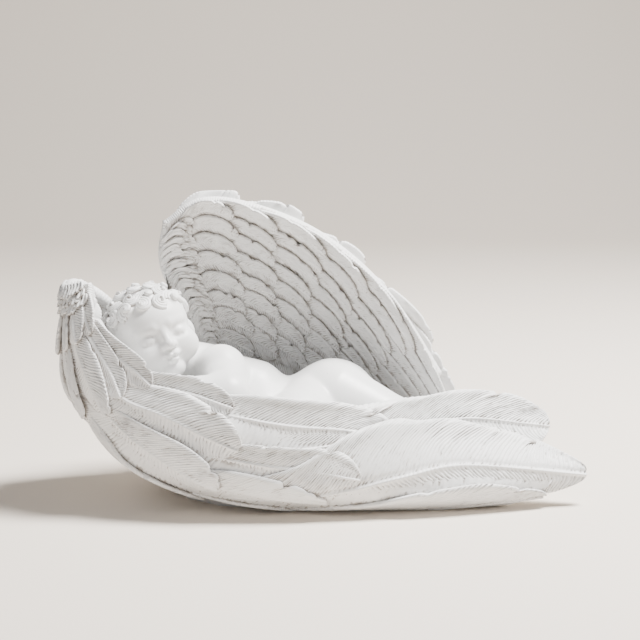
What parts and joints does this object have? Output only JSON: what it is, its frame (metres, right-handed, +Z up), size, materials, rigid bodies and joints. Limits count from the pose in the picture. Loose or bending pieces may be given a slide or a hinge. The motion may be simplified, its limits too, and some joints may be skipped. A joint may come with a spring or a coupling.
{
  "type": "putto statue",
  "caption": "White cast stone statue of a sleeping winged child that lies on its front in the cradle of its own two feathered wings, on a flat foot.",
  "frame": {"origin": "on the ground, under the middle of the casting's box", "axes": "+Z up; X along the child, the head towards -X and the long feather tips towards +X; the far wing stands on the +Y side and the near wing lies open on the -Y side"},
  "size_m": [0.2999, 0.1371, 0.1692],
  "materials": {
    "white_stone": "white cast stone, satin"
  },
  "bodies": {
    "root": {"putto_in_wings": "white_stone"}
  },
  "joints": []
}
